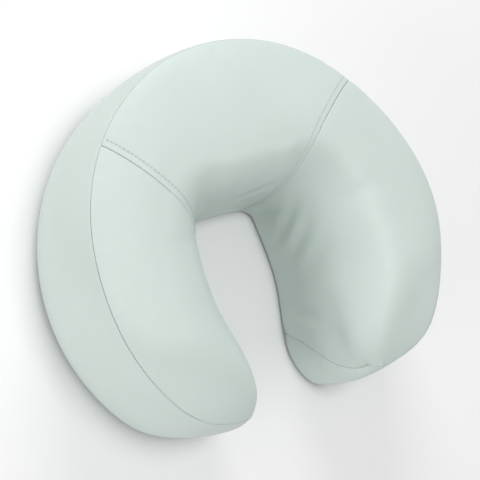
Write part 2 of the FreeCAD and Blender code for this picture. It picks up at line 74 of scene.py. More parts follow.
# Places on the outline are numbered by its control points: where the tip's seam leaves the outer one, and
# where the wall of the opening begins, with how softly the wall changes there.
SEAM_STARTS_AT = 6
TIP_FRONT_AT = 8
WALL_BLEND = 0.4

# The top is level out to the ridge's radius and falls from there to the outer seam.
TOP_Z = 106 * MM
RIDGE_RADIUS = 106 * MM
# Heights where the walls of the opening stand out most, where the cover ends, and where the base lies.
WIDEST_Z = 35 * MM
EDGE_Z = 2.4 * MM
BASE_Z = 3 * MM
BAND_BULGE = 4.2 * MM
BASE_ROUND = 5 * MM
WALL_RECESS = 0.8 * MM
TIP_WALL_ROLL = 17 * MM
TIP_WALL_TOP = 71 * MM
# How far from the opening the top starts to roll down: beside the legs, and at the brow.
LEG_ROLL = 55 * MM
BROW_ROLL = 28 * MM
BROW_REACH = 44 * MM
# The outer seam, from the crown to each tip and down into the opening: outline number, height in
# millimetres.
SEAM = ((0, 97.5), (1.2, 97.5), (2, 97.2), (2.8, 99), (3.7, 100.8), (4.4, 97), (5.2, 93), (6, 89), (7, 80),
        (7.7, 73), (8.2, 58), (8.6, 45.5), (8.9, 36.5), (9.1, 25), (9.32, EDGE_Z / MM))
SEAM_END = SEAM[-1][0]

# Lengths along the outside and along the opening, from the crown's middle, of the cross seams.
LEFT_SEAM = (-136 * MM, -72 * MM)
RIGHT_SEAM = (127 * MM, 39 * MM)
# How far each cross seam bows towards the crown, and how far beyond the seam the bow dies out.
LEFT_BOW = 2 * MM
RIGHT_BOW = 10.5 * MM
BOW_FADE = 60 * MM
BOW_RISE = 0.8
BOW_PEAK = 2.38
# Length along the outside, from the crown's middle, where the rounded tips begin.
TIP_STARTS = 285 * MM
# How far the sheet leans back from upright where it meets the tip's seam: share of the seam, degrees.
TIP_LEAN = ((0, 70), (0.3, 48), (0.6, 25), (0.8, 5), (1, 0))
TURNING_ROWS = 3
# Rounds of smoothing, each a step in and a step out, and the columns before a tip where it fades in.
EVENINGS = 80
EVENING_STEPS = (0.5, -0.52)
EVENED_BEFORE = 6
EVENED_OVER = 8

COLUMN = 5 * MM
ROWS = 38
BAND_ROWS = 18
SECTION_POINTS = 400
FOOT_POINTS = 60
COVER = 1.0 * MM


# ------------------------ small tools


def smooth(x):
    """0 to 1, level at both ends."""
    x = np.clip(x, 0, 1)
    return x * x * (3 - 2 * x)


def unit(v):
    """Vectors made one long."""
    return v / np.maximum(np.linalg.norm(v, axis=-1, keepdims=True), TINY)


def spline(knots, values, at):
    """A natural cubic spline through values at the knots, worked out at new places."""
    knots = np.asarray(knots, float)
    values = np.asarray(values, float)
    at = np.asarray(at, float)
    flat = values.reshape(len(knots), -1)
    count = len(knots)
    gap = np.diff(knots)
    system = np.eye(count)
    right = np.zeros_like(flat)
    for i in range(1, count - 1):
        system[i, i - 1 : i + 2] = gap[i - 1], 2 * (gap[i - 1] + gap[i]), gap[i]
        right[i] = 6 * ((flat[i + 1] - flat[i]) / gap[i] - (flat[i] - flat[i - 1]) / gap[i - 1])
    bend = np.linalg.solve(system, right)
    i = np.clip(np.searchsorted(knots, at) - 1, 0, count - 2)
    h = gap[i][:, None]
    a = (knots[i + 1] - at)[:, None]
    b = (at - knots[i])[:, None]
    made = (a**3 * bend[i] + b**3 * bend[i + 1]) / (6 * h)
    made += (flat[i] / h - bend[i] * h / 6) * a + (flat[i + 1] / h - bend[i + 1] * h / 6) * b
    return made.reshape((len(at),) + values.shape[1:])


def lengths(points):
    """Distance along a line of points, from its start to each of them."""
    return np.r_[0, np.cumsum(np.linalg.norm(np.diff(points, axis=0), axis=1))]


def between(at, knots, values):
    """Rows of values at new places, on straight lines between the rows at the knots."""
    return np.stack([np.interp(at, knots, column) for column in np.asarray(values).T], axis=-1)


def even_steps(points, count):
    """Points at even distances along a dense line."""
    far = lengths(points)
    return between(np.linspace(0, far[-1], count), far, points)


def refined(grid, rows, columns):
    """A grid of points worked out again, by splines, at new row and column numbers."""
    tall = spline(np.arange(grid.shape[0]), grid, rows)
    return spline(np.arange(grid.shape[1]), tall.transpose(1, 0, 2), columns).transpose(1, 0, 2)


def grid_normals(grid):
    """Outward directions of a grid whose rows run inwards, or upwards, and whose columns run clockwise."""
    return unit(np.cross(np.gradient(grid, axis=0), np.gradient(grid, axis=1)))


# ------------------------ the outline seen from above


def half_outline():
    """Control points of the right half, from the crown's outside to its inside."""
    turns, extra = np.array(ARC).T
    turns = np.radians(turns)[:, None]
    arc = np.hstack([np.sin(turns), np.cos(turns)]) * (OUTER_RADIUS + extra[:, None] * MM)
    return np.vstack([arc + [0, OUTER_CENTRE_Y], np.array(TIP_OUTLINE) * MM + [0, TIP_Y]])


def dense_outline():
    """A dense line round the right half, its outward directions, and each point's control-point number."""
    half = half_outline()
    ring = np.vstack([half, half[1:-1][::-1] * [-1, 1]])
    wrap = 5
    around = np.vstack([ring[-wrap:], ring, ring[:wrap]])
    knots = np.r_[0, np.cumsum(np.sqrt(np.linalg.norm(np.diff(around, axis=0), axis=1)))]
    half_knots = knots[wrap : wrap + len(half)]
    at = np.linspace(half_knots[0], half_knots[-1], LINE_POINTS)
    line = spline(knots, around, at)
    along = np.gradient(line, axis=0)
    outward = unit(np.stack([-along[:, 1], along[:, 0]], axis=1))
    return line, outward, np.interp(at, half_knots, range(len(half)))


LINE, OUTWARD, NUMBER = dense_outline()
FROM_CROWN = lengths(LINE)


def outline_at(number, side):
    """Points on the outline and its outward directions, at control-point numbers on one side."""
    return between(number, NUMBER, LINE) * [side, 1], unit(between(number, NUMBER, OUTWARD)) * [side, 1]


def outside_number(length):
    """The control-point number at a distance along the outside, from the crown's middle."""
    return np.interp(np.abs(length), FROM_CROWN, NUMBER)


def opening_number(length):
    """The control-point number at a distance along the opening's edge, from the crown's middle."""
    return np.interp(FROM_CROWN[-1] - np.abs(length), FROM_CROWN, NUMBER)


def from_opening(plan):
    """Distances from the opening's edge, and the nearest places' lengths along it from the crown."""
    inner = NUMBER > TIP_FRONT_AT
    right = np.column_stack([np.abs(plan[:, 0]), plan[:, 1]])
    nearest = np.linalg.norm(right[:, None] - LINE[inner], axis=2).argmin(axis=1)
    apart = np.sum((LINE[inner][nearest] - right) * OUTWARD[inner][nearest], axis=1)
    return np.clip(apart, 0, None), (FROM_CROWN[-1] - FROM_CROWN[inner])[nearest]


def seam_height(number):
    """Height of the outer seam at outline places."""
    places = np.minimum(np.atleast_1d(number), SEAM_END)
    return spline([at for at, _ in SEAM], np.array([[up * MM] for _, up in SEAM]), places)[:, 0]


def wall_offset(number, z):
    """How far the wall stands out from the outline: the bulge of the band, then the wall of the opening."""
    share = z / np.maximum(seam_height(number), WIDEST_Z)
    out = BAND_BULGE * np.clip(1 - (2 * share - 1) ** 2, 0, 1)
    out -= BASE_ROUND - np.sqrt(BASE_ROUND**2 - np.clip(BASE_ROUND - z, 0, BASE_ROUND) ** 2)
    rise = np.clip((z - WIDEST_Z) / (TIP_WALL_TOP - WIDEST_Z), 0, 1)
    fall = np.clip((WIDEST_Z - z) / WIDEST_Z, 0, 1)
    opening = -TIP_WALL_ROLL * (1 - np.sqrt(1 - rise**2)) - WALL_RECESS * (1 - np.sqrt(1 - fall**2))
    in_opening = 1 / (1 + np.exp((TIP_FRONT_AT - number) / WALL_BLEND))
    return out + (opening - out) * in_opening


def on_wall(number, side, z):
    """Points on the wall, at outline numbers and heights."""
    point, outward = outline_at(number, side)
    plan = point + outward * np.asarray(wall_offset(number, z))[..., None]
    return np.concatenate([plan, np.broadcast_to(np.asarray(z)[..., None], plan[..., :1].shape)], axis=-1)


# ------------------------ the cover's first shape


def section(outside, inside, bow):
    """One line over the top, from the outer seam down the opening's wall to the base."""
    number = np.atleast_1d(outside_number(outside))
    inner = opening_number(inside)
    start = on_wall(number, np.sign(outside), seam_height(number))[0]
    end, outward = outline_at(inner, np.sign(inside))
    span = end - start[:2]
    width = np.linalg.norm(span)
    across = np.array([-span[1], span[0]]) / width
    across *= np.sign(across[1])
    f = np.sin(np.linspace(0, math.pi / 2, SECTION_POINTS))
    plan = start[:2] + span * f[:, None] + across * (bow * BOW_PEAK * f**BOW_RISE * np.sqrt(1 - f))[:, None]
    beyond = np.clip(np.hypot(plan[:, 0], plan[:, 1] - OUTER_CENTRE_Y) - RIDGE_RADIUS, 0, None)
    rise = TOP_Z - start[2]
    dome = (rise**2 + beyond[0] ** 2) / (2 * rise)
    top = TOP_Z - dome + np.sqrt(dome**2 - beyond**2)
    far, place = from_opening(plan)
    reach = BROW_ROLL + (LEG_ROLL - BROW_ROLL) * smooth((place - BROW_REACH) / BROW_REACH + 0.5)
    far = np.minimum.accumulate(np.clip(far - far[-1], 0, None))
    roll = np.sqrt(1 - (1 - np.clip(far / reach, 0, 1)) ** 2)
    over = np.column_stack([plan, WIDEST_Z + (top - WIDEST_Z) * roll])
    z = np.linspace(WIDEST_Z, EDGE_Z, FOOT_POINTS)[1:]
    fall = np.clip((WIDEST_Z - z) / WIDEST_Z, 0, 1)
    wall = end - outward * (WALL_RECESS * (1 - np.sqrt(1 - fall**2)))[:, None]
    return even_steps(np.vstack([over, np.column_stack([wall, z])]), ROWS + 1)


def tip_seam(side):
    """The seam round one tip, from the outside down to the base in the opening, and its outline numbers."""
    numbers = np.linspace(SEAM_STARTS_AT, SEAM_END, SECTION_POINTS)
    made = even_steps(np.column_stack([on_wall(numbers, side, seam_height(numbers)), numbers]), ROWS + 1)
    return made[:, :3], made[:, 3]


def tip_part(before, first, seam, outside, inside, columns):
    """The top from the last straight section to a tip's seam, as lines that leave one and meet the other."""
    side = np.sign(outside)
    along = unit(np.gradient(seam, axis=0))
    rows = np.arange(ROWS + 1)
    outward = outline_at(tip_seam(side)[1], side)[1]
    tilt = np.radians(np.interp(rows / ROWS, *zip(*TIP_LEAN)))
    facing = np.column_stack([outward * np.cos(tilt)[:, None], np.sin(tilt)])
    leaving = np.cross(facing, along) * side
    turn = np.clip(rows / TURNING_ROWS, 0, 1)[:, None] ** 0.5
    leaving = unit(along * (1 - turn) + leaving * turn)
    reach = np.linalg.norm(seam - first, axis=1)[:, None]
    t = np.linspace(0, 1, columns + 1)[1:, None, None]
    grid = (2 * t**3 - 3 * t**2 + 1) * first + (t**3 - 2 * t**2 + t) * (first - before) * columns
    grid = grid + (3 * t**2 - 2 * t**3) * seam + (t**3 - t**2) * leaving * reach
    share = t[:, 0, 0]
    outer_end = FROM_CROWN[np.searchsorted(NUMBER, SEAM_STARTS_AT)]
    numbers = outside_number(abs(outside) + (outer_end - abs(outside)) * share)
    outer = on_wall(numbers, side, seam_height(numbers))
    inner_start = opening_number(inside)
    inner = on_wall(inner_start + (SEAM_END - inner_start) * share, side, EDGE_Z)
    near = (1 - rows / ROWS)[None, :, None] ** 2
    far = (rows / ROWS)[None, :, None] ** 2
    return grid + (outer - grid[:, 0])[:, None] * near + (inner - grid[:, -1])[:, None] * far


def evened(grid, share):
    """The grid with its small creases smoothed out, by a share for each column, without shrinking it."""
    for _ in range(EVENINGS):
        for step in EVENING_STEPS:
            around = grid[:-2, 1:-1] + grid[2:, 1:-1] + grid[1:-1, :-2] + grid[1:-1, 2:]
            grid = grid.copy()
            grid[1:-1, 1:-1] += step * share[None, 1:-1, None] * (around / 4 - grid[1:-1, 1:-1])
    return grid


def top_grid():
    """The top sheet, its columns' places along the outside, and the columns of the two cross seams."""
    edge = FROM_CROWN[np.searchsorted(NUMBER, SEAM_STARTS_AT)]
    foot = FROM_CROWN[-1] - np.interp(SEAM_END, NUMBER, FROM_CROWN)
    pairs = np.array([(-edge, -foot), LEFT_SEAM, RIGHT_SEAM, (edge, foot)])
    stops = [-TIP_STARTS, LEFT_SEAM[0], RIGHT_SEAM[0], TIP_STARTS]
    counts = [round((b - a) / COLUMN) for a, b in zip(stops[:-1], stops[1:])]
    parts = [np.linspace(a, b, n, endpoint=False) for a, b, n in zip(stops, stops[1:], counts)]
    places = np.r_[np.concatenate(parts), TIP_STARTS]
    inner = spline(pairs[:, 0], pairs[:, 1:], places)[:, 0]
    bow_stops = [LEFT_SEAM[0] - BOW_FADE, LEFT_SEAM[0], 0, RIGHT_SEAM[0], RIGHT_SEAM[0] + BOW_FADE]
    bows = np.interp(places, bow_stops, [0, LEFT_BOW, 0, RIGHT_BOW, 0])
    middle = [section(a, b, bow) for a, b, bow in zip(places, inner, bows)]
    end_columns = round((edge - TIP_STARTS) / COLUMN)
    left = tip_part(middle[1], middle[0], tip_seam(-1)[0], places[0], inner[0], end_columns)
    right = tip_part(middle[-2], middle[-1], tip_seam(1)[0], places[-1], inner[-1], end_columns)
    grid = np.concatenate([left[::-1], middle, right]).transpose(1, 0, 2)
    half = (grid.shape[1] - 1) / 2
    into_tip = np.abs(np.arange(grid.shape[1]) - half) - half + end_columns
    grid = evened(grid, smooth((into_tip + EVENED_BEFORE) / EVENED_OVER))
    ends = np.linspace(TIP_STARTS, edge, end_columns + 1)[1:]
    numbers = outside_number(np.r_[-ends[::-1], places, ends])
    seams = end_columns + counts[0], end_columns + counts[0] + counts[1]
    return grid, numbers, seams


def band_grid(top, numbers):
    """The side band, base row first, under the top sheet's outer edge and both tip seams."""
    left, left_numbers = tip_seam(-1)
    right, right_numbers = tip_seam(1)
    edge = np.concatenate([top[:0:-1, 0], top[0], top[1:, -1]])
    number = np.r_[left_numbers[:0:-1], numbers, right_numbers[1:]]
    middle = top.shape[1] // 2 + ROWS
    side = np.where(np.arange(len(number)) < middle, -1, 1)[:, None]
    rows = []
    for share in np.linspace(0, 1, BAND_ROWS + 1):
        z = EDGE_Z + (edge[:, 2] - EDGE_Z) * share
        point, outward = outline_at(number, 1)
        reach = wall_offset(number, z)
        plan = (point + outward * reach[:, None]) * np.hstack([side, np.ones_like(side)])
        rows.append(np.column_stack([plan, z]))
    grid = np.array(rows)
    shift = edge - grid[-1]
    return grid + shift * np.linspace(0, 1, BAND_ROWS + 1)[:, None, None]


# ------------------------ settling the cover with cloth

FRAMES = 20
MOST_MOVE = 6 * MM
CLOTH = {
    "vertex_group_mass": "held",
    "quality": 6,
    "mass": 0.3,
    "tension_stiffness": 25,
    "compression_stiffness": 25,
    "shear_stiffness": 10,
    "bending_stiffness": 4,
    "use_pressure": True,
    "uniform_pressure_force": 4.0,
}


def welded(top, band):
    """Points, faces, number grids and held points of the top sheet and the band as one surface."""
    rows, columns = top.shape[:2]
    top_numbers = np.arange(rows * columns).reshape(rows, columns)
    edge = np.concatenate([top_numbers[:0:-1, 0], top_numbers[0], top_numbers[1:, -1]])
    band_numbers = rows * columns + np.arange(BAND_ROWS * len(edge)).reshape(BAND_ROWS, len(edge))
    band_numbers = np.vstack([band_numbers, edge])
    band_numbers[:, 0] = edge[0]
    band_numbers[:, -1] = edge[-1]
    points = np.vstack([top.reshape(-1, 3), band[:-1].reshape(-1, 3)])
    faces = []
    for numbers in (top_numbers, band_numbers):
        corners = (numbers[:-1, :-1], numbers[1:, :-1], numbers[1:, 1:], numbers[:-1, 1:])
        for face in np.stack(corners, axis=-1).reshape(-1, 4).tolist():
            face = list(dict.fromkeys(face))
            if len(face) > 2:
                faces.append(face)
    held = np.r_[top_numbers[-1], band_numbers[0]]
    return points, faces, top_numbers, band_numbers, np.unique(held)


def mesh_object(name, points, faces):
    """A new mesh object with smooth faces."""
    mesh = bpy.data.meshes.new(name)
    mesh.from_pydata([tuple(p) for p in points], [], faces)
    mesh.update()
    mesh.shade_smooth()
    made = bpy.data.objects.new(name, mesh)
    bpy.context.scene.collection.objects.link(made)
    return made


def point_normals(points, faces):
    """The cover's outward direction at each point, the same for every panel that meets there."""
    cover = mesh_object("normals_cover", points, faces)
    made = np.zeros(len(points) * 3, np.float32)
    cover.data.vertices.foreach_get("normal", made)
    bpy.data.objects.remove(cover)
    return made.reshape(-1, 3).astype(float)


def settled(points, faces, held):
    """The points after the cover is blown up against its seams, none of them moved too far."""
    cover = mesh_object("settling_cover", points, faces)
    group = cover.vertex_groups.new(name=CLOTH["vertex_group_mass"])
    group.add([int(i) for i in held], 1.0, "REPLACE")
    cloth = cover.modifiers.new("cloth", "CLOTH")
    for setting, value in CLOTH.items():
        setattr(cloth.settings, setting, value)
    cloth.settings.effector_weights.gravity = 0
    cloth.collision_settings.use_collision = False
    cloth.point_cache.frame_start = 1
    cloth.point_cache.frame_end = FRAMES
    scene = bpy.context.scene
    for step in range(1, FRAMES + 1):
        scene.frame_set(step)
    seen = cover.evaluated_get(bpy.context.evaluated_depsgraph_get()).data
    after = np.zeros(len(points) * 3, np.float32)
    seen.vertices.foreach_get("co", after)
    scene.frame_set(1)
    bpy.data.objects.remove(cover)
    move = after.reshape(-1, 3).astype(float) - points
    far = np.linalg.norm(move, axis=1, keepdims=True)
    return points + move * np.minimum(1, MOST_MOVE / np.maximum(far, TINY))


# ------------------------ seams, folds and puckers

SEAM_DIP = 0.9 * MM
OUTER_DIP = 0.6
CROSS_DIP = 0.25
DIP_SPREAD = 2.5 * MM
SEAM_GAP = 0.06 * MM
FLAP = 3.5 * MM
# A turned-in edge is turned in by only this share again where it meets the next edge.
CORNER_SHARE = 0.1
# Puckers along the seams: wavelengths in millimetres, depths, and how far from the seam they reach.
OUTER_PUCKER = {"waves": (7.3, 11.9, 5.1), "depth": 0.25 * MM, "tip_depth": 0.9 * MM, "spread": 7 * MM}
CROSS_PUCKER = {"waves": (6.1, 9.7), "depth": 0.2 * MM, "spread": 6 * MM}
# The wave of the seam itself, at the right leg's tip: how long that stretch is, and how it fades.
TIP_WAVE = {"waves": (8.7, 13.1), "height": 0.8 * MM, "spread": 5 * MM}
TIP_LENGTH = 130 * MM
TIP_FADE_IN = 20 * MM
TIP_FADE_OUT = 10 * MM
# Row and column numbers beside a panel's edge, and the step between the others.
FINE_EDGE = (0, 0.1, 0.25, 0.45, 0.75)
FINE_STEP = 0.5
# Folds in the cover: points in millimetres, half width, depth, and height of the soft ridge beside it.
FOLDS = (
    (((-12, 24, 62), (-1, 24, 67), (8, 25, 70), (18, 28, 74), (28, 31, 78)), 5, 0.9, 0.5),
    (((46, 10, 68), (46, 2, 55), (47, -7, 40), (47, -14, 26), (47, -20, 12)), 4.5, 1.3, 0.7),
    (((52, -7, 70), (50, -16, 58), (48, -25, 45), (47, -33, 32), (47, -40, 20)), 5, 1.2, 0.6),
    (((57, -30, 78), (52, -36, 66), (49, -44, 50)), 5, 0.6, 0.3),
    (((42, -70, 10), (41, -74, 24), (42, -79, 38), (44, -84, 52)), 4.5, 1.3, 0.6),
    (((-128, 60, 101), (-121, 62, 104), (-113, 63, 106)), 3, 0.5, 0.2),
    (((50, -118, 52), (54, -113, 62), (60, -108, 72)), 3.5, 0.9, 0.4),
)
# How many half widths away the ridge lies, and the shares of a fold's length that count as its ends.
RIDGE_PLACE = 1.9
FOLD_ENDS = (0.02, 0.98)
FOLD_FULLNESS = 0.7


def ripple(along, wavelengths, seed):
    """An uneven wave from -1 to 1 along a seam, the same each time."""
    draw = np.random.default_rng(seed)
    waves = [np.sin(2 * math.pi * (along / (w * MM) + draw.random())) for w in wavelengths]
    return sum(waves) / len(waves)


def nearest_on(line, points):
    """For each point, its distance from a line and how far along the line its nearest place is."""
    fine = even_steps(line, max(2, int(lengths(line)[-1] / MM)))
    tree = KDTree(len(fine))
    for i, place in enumerate(fine):
        tree.insert(place, i)
    tree.balance()
    found = [tree.find(p)[1:] for p in points.reshape(-1, 3)]
    number, far = np.array(found).T
    step = lengths(fine)[-1] / (len(fine) - 1)
    return far.reshape(points.shape[:-1]), (number * step).reshape(points.shape[:-1])


class Cover:
    """The settled cover: its grids and the lines that its seams follow."""

    def __init__(self, points, outward, top_ids, band_ids, left_seam, right_seam):
        top = points[top_ids]
        band = points[band_ids]
        self.top = top
        self.band = band
        self.top_outward = outward[top_ids]
        self.band_outward = outward[band_ids]
        self.cross = top[:, left_seam], top[:, right_seam]
        self.edge = np.concatenate([top[:0:-1, 0], top[0], top[1:, -1]])
        self.foot = np.concatenate([band[0], top[-1, ::-1]])
        self.columns = {
            "left_cheek": (0, left_seam),
            "brow": (left_seam, right_seam),
            "right_cheek": (right_seam, top.shape[1] - 1),
        }

    def relief(self, grid, outward):
        """The grid with its seams drawn in, its puckers and its folds."""
        high = np.zeros(grid.shape[:-1])
        shift = np.zeros_like(grid)
        far, along = nearest_on(self.edge, grid)
        total = lengths(self.edge)[-1]
        tip = smooth((along - total + TIP_LENGTH) / TIP_FADE_IN) * smooth((total - along) / TIP_FADE_OUT)
        high -= SEAM_DIP * OUTER_DIP * np.exp(-far / DIP_SPREAD)
        pucker = 0.5 + 0.5 * ripple(along, OUTER_PUCKER["waves"], SEED)
        depth = OUTER_PUCKER["depth"] + OUTER_PUCKER["tip_depth"] * tip
        high -= depth * pucker * np.exp(-((far / OUTER_PUCKER["spread"]) ** 2))
        wave = ripple(along, TIP_WAVE["waves"], SEED + 1) * np.exp(-far / TIP_WAVE["spread"]) * tip
        shift[..., 2] += TIP_WAVE["height"] * wave
        for seed, line in enumerate(self.cross, SEED + 2):
            far, along = nearest_on(line, grid)
            pucker = 0.5 + 0.5 * ripple(along, CROSS_PUCKER["waves"], seed)
            high -= CROSS_PUCKER["depth"] * pucker * np.exp(-((far / CROSS_PUCKER["spread"]) ** 2))
            high -= SEAM_DIP * CROSS_DIP * np.exp(-far / DIP_SPREAD)
        for line, width, depth, ridge in FOLDS:
            far, along = nearest_on(np.array(line) * MM, grid)
            whole = lengths(np.array(line) * MM)[-1]
            ends = np.sin(math.pi * np.clip(along / whole, *FOLD_ENDS)) ** FOLD_FULLNESS
            x = far / (width * MM)
            high += MM * ends * (-depth * np.exp(-(x**2)) + ridge * np.exp(-((x - RIDGE_PLACE) ** 2)))
        return grid + outward * high[..., None] + shift


def fine_places(start, stop):
    """Row or column numbers from start to stop, close together beside both ends."""
    edge = np.array(FINE_EDGE)
    count = max(2, round((stop - start - 2 * edge[-1]) / FINE_STEP))
    middle = np.linspace(start + edge[-1], stop - edge[-1], count)
    return np.r_[start + edge[:-1], middle, stop - edge[-2::-1]]


def turned_in(grid, outward):
    """The grid with its four edges drawn down at the seam and turned in, as a sewn edge is."""
    for _ in range(2):
        parts, faces = [], []
        for edge, second, facing in ((grid[0], grid[1], outward[0]), (grid[-1], grid[-2], outward[-1])):
            back = unit(second - edge) * SEAM_GAP
            parts.append([edge + back - facing * FLAP, edge + back - facing * SEAM_DIP])
            faces.append([facing * CORNER_SHARE, facing])
        grid = np.vstack([parts[0], grid[1:-1], parts[1][::-1]])
        outward = np.vstack([faces[0], outward[1:-1], faces[1][::-1]])
        grid, outward = grid.transpose(1, 0, 2), outward.transpose(1, 0, 2)
    return grid


def shell(name, grid):
    """A closed sheet of the cover's thickness, whose outer face is the grid."""
    rows, columns = grid.shape[:2]
    inner = grid - grid_normals(grid) * COVER
    numbers = np.arange(rows * columns).reshape(rows, columns)
    under = numbers + rows * columns

    def quads(a):
        return np.stack([a[:-1, :-1], a[1:, :-1], a[1:, 1:], a[:-1, 1:]], axis=-1).reshape(-1, 4)

    rim = np.r_[numbers[0], numbers[1:, -1], numbers[-1, -2::-1], numbers[-2:0:-1, 0]]
    below = rim + rows * columns
    sides = np.stack([rim, np.roll(rim, -1), np.roll(below, -1), below], axis=1)
    faces = np.vstack([quads(numbers), quads(under)[:, ::-1], sides])
    return mesh_object(name, np.vstack([grid.reshape(-1, 3), inner.reshape(-1, 3)]), faces.tolist())


def sewn_sheet(cover, name, grid, outward, rows, columns):
    """A panel worked out from part of the cover: its finished grid, and its sheet with sewn edges."""
    grid = refined(grid, rows, columns)
    outward = unit(refined(outward, rows, columns))
    grid = cover.relief(grid, outward)
    return grid, shell(name, turned_in(grid, outward))


def cover_panel(cover, name):
    """One panel of the top."""
    columns = fine_places(*cover.columns[name])
    return sewn_sheet(cover, name + "_cover", cover.top, cover.top_outward, fine_places(0, ROWS), columns)


# The band's two ends, where it narrows to a point, are left off by this share of a column.
BAND_END = 0.3


def band_panel(cover):
    """The side band, from the foot of one tip's seam round the outside to the other's."""
    columns = fine_places(BAND_END, cover.band.shape[1] - 1 - BAND_END)
    rows = fine_places(0, BAND_ROWS)
    return sewn_sheet(cover, "band_cover", cover.band, cover.band_outward, rows, columns)[1]


# ------------------------ stitches

# How far from the seam the topstitching runs, and how many rows of the panel it stops short of the ends.
ALLOWANCE = 5.5 * MM
SKIPPED_ROWS = (1, 3)
STITCH_PITCH = 3.2 * MM
STITCH_LENGTH = 2.5 * MM
THREAD_RADIUS = 0.35 * MM
# Along a stitch: share of its length, height above the cloth in thread radii.
STITCH_PROFILE = ((0, -1.2), (0.1, 0.3), (0.3, 0.8), (0.7, 0.8), (0.9, 0.3), (1, -1.2))
THREAD_SIDES = 6


def stitches(name, line, outward):
    """A row of sewn stitches along a line that lies on the cloth."""
    far = lengths(line)
    points, faces = [], []
    for start in np.arange(STITCH_PITCH / 2, far[-1] - STITCH_LENGTH, STITCH_PITCH):
        at = start + STITCH_LENGTH * np.array([share for share, _ in STITCH_PROFILE])
        middle = between(at, far, line)
        up = unit(between(at, far, outward))
        lift = THREAD_RADIUS * np.array([high for _, high in STITCH_PROFILE])
        middle = middle + up * lift[:, None]
        ahead = unit(np.gradient(middle, axis=0))
        side = unit(np.cross(ahead, up))
        over = np.cross(side, ahead)
        first = len(points)
        for turn in range(THREAD_SIDES):
            angle = 2 * math.pi * turn / THREAD_SIDES
            points.extend(middle + THREAD_RADIUS * (side * math.cos(angle) + over * math.sin(angle)))
        rings = len(at)
        for turn in range(THREAD_SIDES):
            a = first + turn * rings
            b = first + (turn + 1) % THREAD_SIDES * rings
            faces += [(a + i, a + i + 1, b + i + 1, b + i) for i in range(rings - 1)]
        for end in (0, rings - 1):
            ring = [first + turn * rings + end for turn in range(THREAD_SIDES)]
            faces.append(ring if end == 0 else ring[::-1])
    return mesh_object(name, points, faces)


def topstitch(name, grid, at_start):
    """Stitches on the brow panel, beside one of its cross seams."""
    if not at_start:
        grid = grid[:, ::-1]
    outward = grid_normals(grid) * (1 if at_start else -1)
    line, facing = [], []
    for row, up in zip(grid, outward):
        far = lengths(row)
        line.append(between(ALLOWANCE, far, row))
        facing.append(between(ALLOWANCE, far, up))
    first, last = SKIPPED_ROWS
    return stitches(name, np.array(line)[first:-last], np.array(facing)[first:-last])


# ------------------------ flat pieces under the cushion

# Rows of triangles lie this share of a step apart, and keep this share of a step from the border.
ROW_SHARE = 0.866
BORDER_SHARE = 0.6
LEAST_GAP = 1e-6
CORNER_TURN = 15


def inside_all(places, outline, holes):
    """Which places lie inside the outline and outside every hole."""

    def inside(loop):
        found = np.zeros(len(places), bool)
        for a, b in zip(loop, np.roll(loop, -1, axis=0)):
            crosses = (a[1] > places[:, 1]) != (b[1] > places[:, 1])
            with np.errstate(divide="ignore", invalid="ignore"):
                x = a[0] + (places[:, 1] - a[1]) * (b[0] - a[0]) / (b[1] - a[1])
            found ^= crosses & (places[:, 0] < x)
        return found

    kept = inside(outline)
    for hole in holes:
        kept &= ~inside(hole)
    return kept


def flat_piece(name, outline, holes, step, underside, topside):
    """A flat sheet with holes, triangulated evenly: underside and topside give its heights."""
    loops = [np.asarray(loop) for loop in (outline, *holes)]
    low, high = loops[0].min(0), loops[0].max(0)
    rows = np.arange(low[1] + step / 2, high[1], step * ROW_SHARE)
    places = []
    for i, y in enumerate(rows):
        places += [(x, y) for x in np.arange(low[0] + (i % 2) * step / 2, high[0], step)]
    places = np.array(places)
    places = places[inside_all(places, loops[0], loops[1:])]
    borders = np.vstack(loops)
    tree = KDTree(len(borders))
    for i, (x, y) in enumerate(borders):
        tree.insert((x, y, 0), i)
    tree.balance()
    places = places[[tree.find((x, y, 0))[2] > step * BORDER_SHARE for x, y in places]]
    edges, first = [], 0
    for loop in loops:
        numbers = np.arange(first, first + len(loop))
        edges += np.stack([numbers, np.roll(numbers, -1)], axis=1).tolist()
        first += len(loop)
    flat = [Vector(p) for p in np.vstack([borders, places])]
    points, _, faces, *_ = delaunay_2d_cdt(flat, edges, [], 0, LEAST_GAP)
    points = np.array([tuple(p) for p in points])
    faces = np.array(faces)
    faces = faces[inside_all(points[faces].mean(axis=1), loops[0], loops[1:])]
    solid = np.vstack([np.column_stack([points, height(points)]) for height in (underside, topside)])
    count = len(points)
    turned = {tuple(e) for f in faces for e in zip(f, np.roll(f, -1))}
    rim = [(a, b) for a, b in turned if (b, a) not in turned]
    walls = [(a, b, b + count, a + count) for a, b in rim]
    every = faces[:, ::-1].tolist() + (faces + count).tolist() + walls
    return mesh_object(name, solid, every)


def rounded_box(low, high, radius, step):
    """The outline of a box seen from above, with round corners."""
    turns = np.radians(np.arange(0, 90 + CORNER_TURN / 2, CORNER_TURN))
    corner = np.stack([np.cos(turns), np.sin(turns)], axis=1) * radius
    centre = np.array([(low[0] + high[0]) / 2, (low[1] + high[1]) / 2])
    loop = []
    for quarter, (right, top) in enumerate(((True, True), (False, True), (False, False), (True, False))):
        tip = np.array([(high if right else low)[0], (high if top else low)[1]])
        middle = tip - radius * np.sign(tip - centre)
        c, s = math.cos(quarter * math.pi / 2), math.sin(quarter * math.pi / 2)
        loop.append(corner @ np.array([[c, s], [-s, c]]) + middle)
    loop = np.vstack([*loop, loop[0][:1]])
    far = lengths(loop)
    return between(np.arange(0, far[-1] - step / 2, step), far, loop)


# ------------------------ materials

# How many radians a wave texture of scale 1 turns through in one unit of length.
WAVE_TURNS = 20
# The middle part of a noise's values, which most of it lies in.
NOISE_RANGE = (0.3, 0.7)


